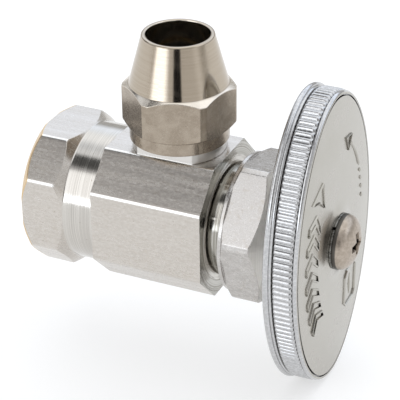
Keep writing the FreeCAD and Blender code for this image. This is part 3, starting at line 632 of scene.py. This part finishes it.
def outlet_collar_outline():
    reach = math.sqrt(OUTLET_COLLAR_R ** 2 - OUTLET_COLLAR_HALF ** 2)
    turn = math.atan2(OUTLET_COLLAR_HALF, reach)
    points = []
    for side in (0, math.pi):
        for k in range(13):
            angle = side - turn + 2 * turn * k / 12
            corner = 0.1 if k in (0, 12) else 0
            points.append((OUTLET_COLLAR_R * math.cos(angle), OUTLET_COLLAR_R * math.sin(angle), corner))
    return subdivided(softened(points, steps=2), 0.45)


def riser_profile(reach, angle):
    root = OUTLET_THREAD_R - THREAD_DEPTH
    lower = [
        (OUTLET_ROOT, 0, 0), (OUTLET_ROOT, reach, 0),
        (OUTLET_COLLAR_TOP, reach, FINE_EDGE), (OUTLET_COLLAR_TOP, root, 0.05),
    ]
    thread = helix_rows(OUTLET_COLLAR_TOP + 0.1, OUTLET_TOP - 0.4, root, THREAD_DEPTH, FINE_PITCH, angle)
    top = [Vector((OUTLET_TOP, root - 0.4)), Vector((OUTLET_TOP, 0))]
    return softened(lower, closed=False) + thread + top


def outlet_way_profile(reach, angle):
    mouth = OUTLET_TOP + 1.0
    return [
        Vector(p) for p in (
            (PORT_FLOOR, 0), (PORT_FLOOR, PORT_R), (SOCKET_FLOOR, PORT_R), (SOCKET_FLOOR, SOCKET_R),
            (OUTLET_TOP - SOCKET_BEVEL, SOCKET_R), (OUTLET_TOP, SOCKET_R + SOCKET_BEVEL * 0.75),
            (mouth, SOCKET_R + SOCKET_BEVEL * 0.75), (mouth, 0),
        )
    ]


def make_body():
    piece = loft("body_shell", octagon(), body_profile, along_x)
    riser = loft("riser", outlet_collar_outline(), riser_profile, along_outlet, ring=False)
    way = loft("way", circle_outline(1.0, 96), outlet_way_profile, along_outlet, ring=False)
    combine(piece, riser, "UNION")
    combine(piece, way, "DIFFERENCE")
    return finished(piece, body_chrome(), "valve_body", "satin_chrome", "valve_body")


# ---------------------------------------------------------------- nuts

def outlet_nut_profile(reach, angle):
    bottom, top = nut_low.z, nut_high.z
    skirt_r, ledge, bore_r, hole_r, shoulder = 10.6, 20.5, 8.75, 6.73, 31.1
    rim_r, rim = 7.58, 0.55
    lower = ledge + (reach - skirt_r) * 0.62
    upper = NUT_HEX_END + (NUT_CORNER_R - reach) / NUT_CHAMFER_SLOPE
    points = [
        (bottom, bore_r + 0.35, 0.1), (bottom, skirt_r, 0.25), (ledge, skirt_r, 0.06),
        (lower, reach, FINE_EDGE), (upper, reach, FINE_EDGE),
        (NUT_HEX_END + NUT_CHAMFER, NUT_CONE_R, 0.1), (top, rim_r, rim), (top, hole_r, 0.3),
        (shoulder, hole_r, 0.1), (shoulder, bore_r, 0.2),
    ]
    thread = helix_rows(shoulder - 1.2, bottom + 0.6, bore_r, -0.12, FINE_PITCH, -angle)
    return softened(points, closed=False) + thread


def make_outlet_nut():
    outline = nut_outline(NUT_FLAT, NUT_CORNER_R, NUT_PHASE, 0.35)
    piece = loft("outlet_nut_shell", outline, outlet_nut_profile, along_outlet)
    return finished(piece, nut_nickel(), "outlet_nut", "satin_nickel", "outlet_nut")


def packing_nut_profile(reach, angle):
    start, washer_r, bore_r, wall, hole_r = packing_low.x, 15.2, 12.0, 53.3, 4.75
    flats_start, front, nose_x, nose_r = 46.6, 53.2, 55.55, 12.4
    lower = flats_start + max(0.0, reach - washer_r) * 0.58
    upper = front + (PACKING_CORNER_R - reach) * (nose_x - front) / (PACKING_CORNER_R - nose_r)
    points = [
        (start, bore_r, 0.1), (start, washer_r, 0.3), (flats_start, washer_r, 0.05),
        (lower, reach, FINE_EDGE),
        (upper, reach, FINE_EDGE), (nose_x, nose_r, 0.35), (nose_x, 7.0, 0.25), (packing_high.x, 6.0, 0.2),
        (packing_high.x, hole_r, 0.15), (wall, hole_r, 0.05), (wall, bore_r, 0.2),
    ]
    return softened(points, closed=False)


def make_packing_nut():
    outline = nut_outline(PACKING_FLAT, PACKING_CORNER_R, PACKING_PHASE, 0.5)
    piece = loft("packing_nut_shell", outline, packing_nut_profile, along_x)
    return finished(piece, packing_chrome(), "packing_nut", "packing_nut_chrome", "packing_nut")


# ---------------------------------------------------------------- handle

def oval_columns():
    """Points and outward normals evenly spaced round the handle's rim."""
    fine = []
    steps = 4000
    power = 2 / OVAL_POWER
    for k in range(steps):
        t = TURN * k / steps
        c, s = math.cos(t), math.sin(t)
        across = HALF_WIDTH * math.copysign(abs(c) ** power, c)
        up = HALF_HEIGHT * math.copysign(abs(s) ** power, s)
        fine.append(Vector((across, up)))
    lengths = [0.0]
    for k in range(1, len(fine) + 1):
        lengths.append(lengths[-1] + (fine[k % len(fine)] - fine[k - 1]).length)
    columns, k = [], 0
    count = RIBS * RIB_STEPS
    for i in range(count):
        target = lengths[-1] * i / count
        while lengths[k + 1] < target:
            k += 1
        share = (target - lengths[k]) / (lengths[k + 1] - lengths[k])
        columns.append(fine[k].lerp(fine[(k + 1) % len(fine)], share))
    normals = []
    for i in range(count):
        along = columns[(i + 2) % count] - columns[i - 2]
        normals.append(Vector((along.y, -along.x)).normalized())
    return columns, normals


def dome_x(share):
    """Station of the handle's shallow dome at a share of the way from its centre to its groove."""
    return HANDLE_FRONT - 0.05 + 0.7 * (1 - share ** 2)


def rim_rows(height):
    """(station, inset) of the rim from the groove round the face to the back, with ribs of this height."""
    grip_end, grip_start = 65.15, 60.65
    rows = [
        (65.62, 1.62), (65.62, 1.45), (65.98, 1.36), (66.08, 1.2), (66.05, 1.0),
        (65.92, 0.8), (65.7, 0.64), (65.45, 0.58), (65.27, 0.62), (65.2, 0.95),
    ]
    for k in range(13):
        t = k / 12
        ends = min(1.0, min(t, 1 - t) * 9)
        rows.append((grip_end + (grip_start - grip_end) * t, 0.98 - height * math.sqrt(ends) * 0.55))
    rows += [
        (60.6, 0.9), (60.56, 0.6), (60.5, 0.54), (60.25, 0.5),
        (60.2, 0.5), (60.15, 0.52), (60.08, 0.5), (60.03, 0.35),
    ]
    for k in range(9):
        t = k / 8
        rows.append((60.0 - 1.25 * t, 0.34 * (2 * t - 0.85) ** 2 + 0.0))
    rows += [(58.7, 0.62), (58.74, 0.8), (58.72, 0.95)]
    return [(x + HANDLE_BACK - 58.7, inset) for x, inset in rows]


def make_handle_shell():
    points, normals = oval_columns()
    wall, floor_x, hub_r, hub_back = 2.2, 64.4, 7.2, handle_low.x
    columns = []
    for i, (point, normal) in enumerate(zip(points, normals)):
        u = (i % RIB_STEPS) / RIB_STEPS
        height = 1 - abs(2 * ((u + 0.5 / RIB_STEPS) % 1) - 1) ** 3
        angle = math.atan2(point.y, point.x)
        spoke = Vector((math.cos(angle), math.sin(angle)))
        edge = point - normal * 1.72
        column = [(PAD_X, spoke * 2.15), (PAD_X, spoke * 6.0), (PAD_X - 0.05, spoke * 6.2)]
        for share in (0.12, 0.24, 0.36, 0.48, 0.6, 0.7, 0.8, 0.88, 0.95, 1.0):
            near = spoke * 6.3
            station = dome_x(share) if share > 0.12 else PAD_X - 0.12
            column.append((station, near.lerp(edge, (share - 0.12) / 0.88)))
        column += [(x, point - normal * inset) for x, inset in rim_rows(height)]
        inner = point - normal * wall
        column += [(HANDLE_BACK + 0.02, point - normal * (wall - 0.25)), (HANDLE_BACK + 0.25, inner)]
        column += [
            (floor_x - 0.9, inner), (floor_x - 0.25, inner - normal * 0.25), (floor_x, inner - normal * 0.9),
            (floor_x, spoke * (hub_r + 0.5)), (floor_x - 0.15, spoke * (hub_r + 0.15)),
            (floor_x - 0.5, spoke * hub_r), (hub_back + 0.3, spoke * hub_r),
            (hub_back + 0.08, spoke * (hub_r - 0.08)), (hub_back, spoke * (hub_r - 0.3)),
            (hub_back, spoke * 5.1), (hub_back + 0.2, spoke * 4.9), (59.4, spoke * 4.9), (59.4, spoke * 4.34),
        ]
        column += [(65.5, spoke * 4.34), (65.5, spoke * 2.15)]
        columns.append([(x, p.x, p.y) for x, p in column])
    return skin("handle_casting", columns)


def rounded_bar(name, low, high, edge=0.3):
    """A straight rib with softened edges."""
    work = bmesh.new()
    bmesh.ops.create_cube(work, size=1)
    for vertex in work.verts:
        for axis in range(3):
            vertex.co[axis] = (high[axis] if vertex.co[axis] > 0 else low[axis]) * MM
    bmesh.ops.bevel(work, geom=work.edges, offset=edge * MM, segments=3, affect="EDGES", profile=0.6)
    mesh = bpy.data.meshes.new(name)
    work.to_mesh(mesh)
    work.free()
    piece = bpy.data.objects.new(name, mesh)
    bpy.context.scene.collection.objects.link(piece)
    return piece


def face_point(y, z, lift):
    """A point on the handle's face, lifted off it."""
    share = min(1.0, math.hypot(y / (HALF_WIDTH - 1.6), z / (HALF_HEIGHT - 1.6)))
    return (dome_x(share) + lift, y, z)


def raised_line(name, path, width=0.5, lift=0.34, closed=False):
    """A low moulded ridge along a path on the handle's face."""
    columns = []
    count = len(path)
    for i, (y, z) in enumerate(path):
        before = path[i - 1] if closed or i else path[0]
        after = path[(i + 1) % count] if closed or i < count - 1 else path[-1]
        along = Vector((after[0] - before[0], after[1] - before[1])).normalized()
        side = Vector((-along.y, along.x))
        end = 0.35 if not closed and i in (0, count - 1) else 1.0
        row = []
        for offset, height in RAISED_SECTION:
            y_here = y + side.x * offset * width * end
            z_here = z + side.y * offset * width * end
            row.append(face_point(y_here, z_here, height * lift * (end if height > 0 else 1)))
        columns.append(row)
    rows = len(columns[0])
    vertices = [p for column in columns for p in column]
    faces = []
    for i in range(count if closed else count - 1):
        after = (i + 1) % count
        for k in range(rows):
            above = (k + 1) % rows
            faces.append((i * rows + k, after * rows + k, after * rows + above, i * rows + above))
    if not closed:
        faces += [tuple(range(rows)), tuple((count - 1) * rows + k for k in range(rows))]
    return mesh_object(name, vertices, faces)


def arc_path(share, start, end, steps):
    """A stretch of an oval inside the face, between two angles in degrees."""
    path = []
    for k in range(steps + 1):
        t = math.radians(start + (end - start) * k / steps)
        path.append((HALF_WIDTH * share * math.cos(t), HALF_HEIGHT * share * math.sin(t)))
    return path


def make_turning_marks():
    """Plain turning marks: a run of chevrons up to an arrowhead, a short arrow, and a framed bar for shut."""
    marks = []

    def outlined(name, share, angle, shape, width=0.5):
        """A closed outline of (along, across) points about a place on an oval, along running clockwise."""
        here, after = arc_path(share, angle, angle - 1.0, 1)
        along = Vector((after[0] - here[0], after[1] - here[1])).normalized()
        across = Vector((-along.y, along.x))
        path = [
            (here[0] + along.x * a + across.x * b, here[1] + along.y * a + across.y * b)
            for a, b in shape
        ]
        marks.append(raised_line(name, path, width, closed=True))

    chevron = ((1.5, 0.0), (-0.9, 2.7), (-2.5, 2.7), (-0.4, 0.0), (-2.5, -2.7), (-0.9, -2.7))
    for angle in range(149, 226, 11):
        outlined("chevron", 0.635, angle, chevron)
    outlined("arrow_head", 0.635, 138, ((4.4, 0.0), (-0.4, 3.3), (0.4, 0.0), (-0.4, -3.3)))
    outlined("short_arrow_head", 0.66, 62, ((-3.0, 0.0), (0.0, 1.7), (0.0, -1.7)), 0.42)
    marks.append(raised_line("short_arrow", arc_path(0.66, 30, 60, 18), 0.6))
    for angle in range(6, 30, 6):
        marks.append(raised_line("short_dash", arc_path(0.66, angle, angle + 3, 3), 0.6))
    corners = (
        (6.0, -20.5), (10.5, -20.5), (11.6, -19.4), (11.6, -12.6),
        (10.5, -11.5), (6.0, -11.5), (4.9, -12.6), (4.9, -19.4),
    )
    marks.append(raised_line("shut_frame", corners, 0.5, closed=True))
    marks.append(raised_line("shut_bar", ((8.2, -18.6), (8.2, -16.0), (8.2, -13.4)), 0.8))
    return marks


def make_handle():
    piece = make_handle_shell()
    side, low, high = 0.8, (60.4, 0, 0), (64.6, 0, 0)
    reach_z, reach_y, hub = HALF_HEIGHT - 1.2, HALF_WIDTH - 1.2, 6.6
    ribs = [
        rounded_bar("rib_up", (low[0], -side, hub), (high[0], side, reach_z)),
        rounded_bar("rib_down", (low[0], -side, -reach_z), (high[0], side, -hub)),
        rounded_bar("rib_right", (low[0], hub, -side), (high[0], reach_y, side)),
        rounded_bar("rib_left", (low[0], -reach_y, -side), (high[0], -hub, side)),
    ]
    join(piece, *ribs, *make_turning_marks())
    piece.data.transform(Matrix.Rotation(HANDLE_TURN, 4, "X"))
    return finished(piece, handle_chrome(), "spindle", "bright_chrome", "handle", sharp=38)


# ---------------------------------------------------------------- handle screw and lock washer

def screw_profile(reach, angle):
    seat, crown = washer_high.x, screw_high.x
    side_r, face_x, face_r = 6.0, 68.2, 5.85
    points = [
        (screw_low.x, 0.0), (screw_low.x, 1.2), (screw_low.x + 0.8, 1.8), (seat, 1.8),
        (seat, side_r - 0.1), (seat + 0.1, side_r), (face_x - 0.25, side_r), (face_x, side_r - 0.1),
    ]
    for k in range(1, 17):
        t = k / 16 * math.pi / 2
        points.append((face_x + (crown - face_x) * math.sin(t) ** 0.92, face_r * math.cos(t) ** 0.86 + 0.0))
    return [Vector(p) for p in points]


def recess_cutter():
    """A cross with four tapered wings that narrow towards the bottom."""
    top, floor_x = screw_high.x + 0.3, screw_high.x - 2.0
    vertices, faces = [], []
    for x, half, reach in ((top, 0.85, 3.25), (floor_x, 0.5, 1.3)):
        for quarter in range(4):
            turn = Matrix.Rotation(quarter * math.pi / 2, 2)
            for corner in ((half * 1.15, half * 1.15), (half, reach), (-half, reach)):
                p = turn @ Vector(corner)
                vertices.append((x, p.x, p.y))
    count = 12
    faces.append(tuple(range(count)))
    faces.append(tuple(range(count, 2 * count)))
    for k in range(count):
        after = (k + 1) % count
        faces.append((k, after, count + after, count + k))
    return mesh_object("recess", vertices, faces)


def make_screw():
    piece = loft("handle_screw_detailed", circle_outline(1.0, 96), screw_profile, along_x, ring=False)
    combine(piece, recess_cutter(), "DIFFERENCE")
    return finished(piece, screw_nickel(), "spindle", "screw_nickel", "handle_screw", sharp=35)


def make_lock_washer():
    """A split spring washer: a flat ring cut through, its ends sprung a little apart."""
    low, high, inner, outer = washer_low.x, washer_high.x, 2.1, washer_high.y
    steps, gap = 90, 0.06
    columns = []
    for k in range(steps + 1):
        angle = gap + (TURN - 2 * gap) * k / steps
        outline = [
            (low + 0.03, inner, 0.05), (high - 0.03, inner, 0.05),
            (high - 0.03, outer - 0.05, 0.14), (low + 0.03, outer - 0.05, 0.14),
        ]
        columns.append([along_x(p.x, p.y, angle + 2.2) for p in softened(outline, steps=3)])
    rows = len(columns[0])
    vertices = [p for column in columns for p in column]
    faces = [tuple(range(rows)), tuple(steps * rows + k for k in range(rows))]
    for i in range(steps):
        for k in range(rows):
            above = (k + 1) % rows
            faces.append((i * rows + k, (i + 1) * rows + k, (i + 1) * rows + above, i * rows + above))
    piece = mesh_object("split_lock_washer", vertices, faces)
    return finished(piece, dark_steel(), "spindle", "zinc_washer", "screw_lock_washer", sharp=35)


# ---------------------------------------------------------------- CAD nodes that stay

def paint_inner_pieces():
    brass, upright_brass, rubber = bare_brass(), bare_brass("upright_brass", "Z"), black_rubber()
    finishes = {
        "outlet_cone_washer": rubber, "outlet_friction_ring": upright_brass, "packing_washer": brass,
        "stem_packing": graphite_packing(), "gland_ring": brass, "stem": brass, "seat_jumper": brass,
        "seat_washer": rubber, "seat_washer_screw": brass,
    }
    for node, material in finishes.items():
        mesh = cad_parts[node].data
        mesh.materials.clear()
        mesh.materials.append(material)


# ---------------------------------------------------------------- studio

AZIMUTH, ELEVATION, ROLL = math.radians(24.81), math.radians(29.368), math.radians(-0.717)
DISTANCE, LENS, SENSOR = 0.362729, 152.047, 36.0
TARGET = Vector((0.035185, 0.0, 0.002643))
SKY_STRENGTH = 1.6
# Reflected surroundings: azimuth and elevation in degrees, half width, half height, softness, colour, share
CARDS = (
    ("camera_shape", -68.5, 2, 9.5, 26, 0.22, (0.01, 0.01, 0.01), 1.0),
    ("left_softbox", -117, 19.5, 18, 31, 0.07, (1.0, 1.01, 1.03), 1.0),
    ("ceiling_gap", -140, 59, 17, 8, 0.3, (0.06, 0.06, 0.06), 1.0),
    ("left_strip", -111, 1, 18, 9, 0.45, (1.75, 1.84, 1.96), 1.0),
    ("rear_dark", 164, 27, 17, 13, 0.35, (0.04, 0.04, 0.045), 1.0),
    ("top_softbox", 75, 66, 60, 15, 0.5, (0.9, 0.92, 0.95), 1.0),
)


def direction(azimuth, elevation):
    a, e = math.radians(azimuth), math.radians(elevation)
    return Vector((math.cos(a) * math.cos(e), math.sin(a) * math.cos(e), math.sin(e)))


def make_sky():
    """Soft studio surroundings, plain and pale where the camera looks straight at them."""
    world = bpy.data.worlds.new("studio")
    bpy.context.scene.world = world
    world.use_nodes = True
    tree = world.node_tree
    background = tree.nodes["Background"]

    def node(kind, settings=(), **inputs):
        made = tree.nodes.new(kind)
        for key, setting in dict(settings).items():
            setattr(made, key, setting)
        for key, content in inputs.items():
            socket = made.inputs[int(key[1:])]
            if isinstance(content, bpy.types.NodeSocket):
                tree.links.new(content, socket)
            else:
                socket.default_value = content
        return made

    def number(operation, a, b=0.0):
        return node("ShaderNodeMath", {"operation": operation}, i0=a, i1=b).outputs[0]

    towards = node("ShaderNodeTexCoord").outputs["Generated"]
    height = node("ShaderNodeSeparateXYZ", i0=towards).outputs[2]
    dot = {"operation": "DOT_PRODUCT"}
    front = node("ShaderNodeVectorMath", dot, i0=towards, i1=(0.0, -1.0, 0.0)).outputs["Value"]

    def ramp(stops):
        made = node("ShaderNodeValToRGB", i0=number("MULTIPLY", number("ADD", height, 1.0), 0.5))
        elements = made.color_ramp.elements
        while len(elements) < len(stops):
            elements.new(0.5)
        for element, (degrees, colour) in zip(elements, stops):
            element.position = (math.sin(math.radians(degrees)) + 1) / 2
            element.color = (*colour, 1.0)
        return made.outputs[0]

    front_sky = ramp([
        (-30, (0.50, 0.49, 0.475)), (0, (0.56, 0.55, 0.54)),
        (12, (0.42, 0.42, 0.42)), (44, (0.40, 0.40, 0.405)),
        (57, (0.37, 0.37, 0.38)), (66, (0.84, 0.85, 0.87)), (85, (0.84, 0.86, 0.88)),
    ])
    back_sky = ramp([
        (-30, (0.50, 0.49, 0.475)), (0, (0.34, 0.335, 0.325)),
        (14, (0.37, 0.37, 0.37)), (26, (0.88, 0.95, 1.07)),
        (38, (0.80, 0.86, 0.95)), (60, (0.52, 0.54, 0.57)), (85, (0.78, 0.80, 0.82)),
    ])
    smooth = {"interpolation_type": "SMOOTHSTEP"}
    share = node("ShaderNodeMapRange", smooth, i0=front, i1=-0.2, i2=0.25, i3=0.0, i4=1.0)
    coloured = {"data_type": "RGBA"}
    colour = node("ShaderNodeMix", coloured, i0=share.outputs[0], i6=back_sky, i7=front_sky).outputs[2]
    for name, azimuth, elevation, wide, tall, soft, tint, strength in CARDS:
        forward = direction(azimuth, elevation)
        right = forward.cross(Vector((0, 0, 1))).normalized()
        up = right.cross(forward)
        across, above, facing = (
            node("ShaderNodeVectorMath", dot, i0=towards, i1=tuple(v)).outputs["Value"]
            for v in (right, up, forward)
        )
        squared = number(
            "ADD", number("POWER", number("DIVIDE", across, math.sin(math.radians(wide))), 2),
            number("POWER", number("DIVIDE", above, math.sin(math.radians(min(tall, 89)))), 2),
        )
        inside = node(
            "ShaderNodeMapRange", {"interpolation_type": "SMOOTHSTEP"}, i0=number("SQRT", squared),
            i1=1 - soft, i2=1 + soft, i3=strength, i4=0.0,
        ).outputs[0]
        inside = number("MULTIPLY", inside, number("GREATER_THAN", facing, 0.0))
        colour = node("ShaderNodeMix", coloured, i0=inside, i6=colour, i7=(*tint, 1.0)).outputs[2]
    tree.links.new(colour, background.inputs["Color"])
    background.inputs["Strength"].default_value = SKY_STRENGTH


def make_floor():
    half = 3.0
    mesh = bpy.data.meshes.new("floor")
    level = cad_box[0][2] - 0.0002
    corners = [(-half, -half, level), (half, -half, level), (half, half, level), (-half, half, level)]
    mesh.from_pydata(corners, [], [(0, 1, 2, 3)])
    floor = bpy.data.objects.new("floor", mesh)
    bpy.context.scene.collection.objects.link(floor)
    look = Finish("pale_floor", Metallic=0.0)
    cloud = look.noise(look.scaled(9, 9, 9), 1.0, 2.0)
    tone = look.mix(cloud, rgb(0.56, 0.56, 0.555), rgb(0.59, 0.59, 0.59))
    look.tree.links.new(tone, look.shader.inputs["Base Color"])
    look.shader.inputs["Roughness"].default_value = 0.9
    look.shader.inputs["Specular IOR Level"].default_value = 0.0
    look.shader.inputs["Emission Color"].default_value = rgb(1.0, 1.0, 1.0)
    look.shader.inputs["Emission Strength"].default_value = 0.50
    mesh.materials.append(look.material)


def make_camera():
    camera = bpy.data.cameras.new("camera")
    camera.lens, camera.sensor_width = LENS, SENSOR
    camera.clip_start = 0.01
    view = direction(math.degrees(AZIMUTH) - 90, math.degrees(ELEVATION))
    level = Vector((math.cos(AZIMUTH), math.sin(AZIMUTH), 0))
    upright = view.cross(level)
    right = level * math.cos(ROLL) + upright * math.sin(ROLL)
    up = upright * math.cos(ROLL) - level * math.sin(ROLL)
    holder = bpy.data.objects.new("camera", camera)
    holder.matrix_world = Matrix((
        (right.x, up.x, view.x, 0), (right.y, up.y, view.y, 0), (right.z, up.z, view.z, 0), (0, 0, 0, 1),
    ))
    holder.matrix_world.translation = TARGET + view * DISTANCE
    bpy.context.scene.collection.objects.link(holder)
    bpy.context.scene.camera = holder


make_camera()
make_sky()
make_floor()
make_body()
make_outlet_nut()
make_packing_nut()
make_handle()
make_lock_washer()
make_screw()
paint_inner_pieces()
bpy.context.scene.view_settings.view_transform = "Standard"
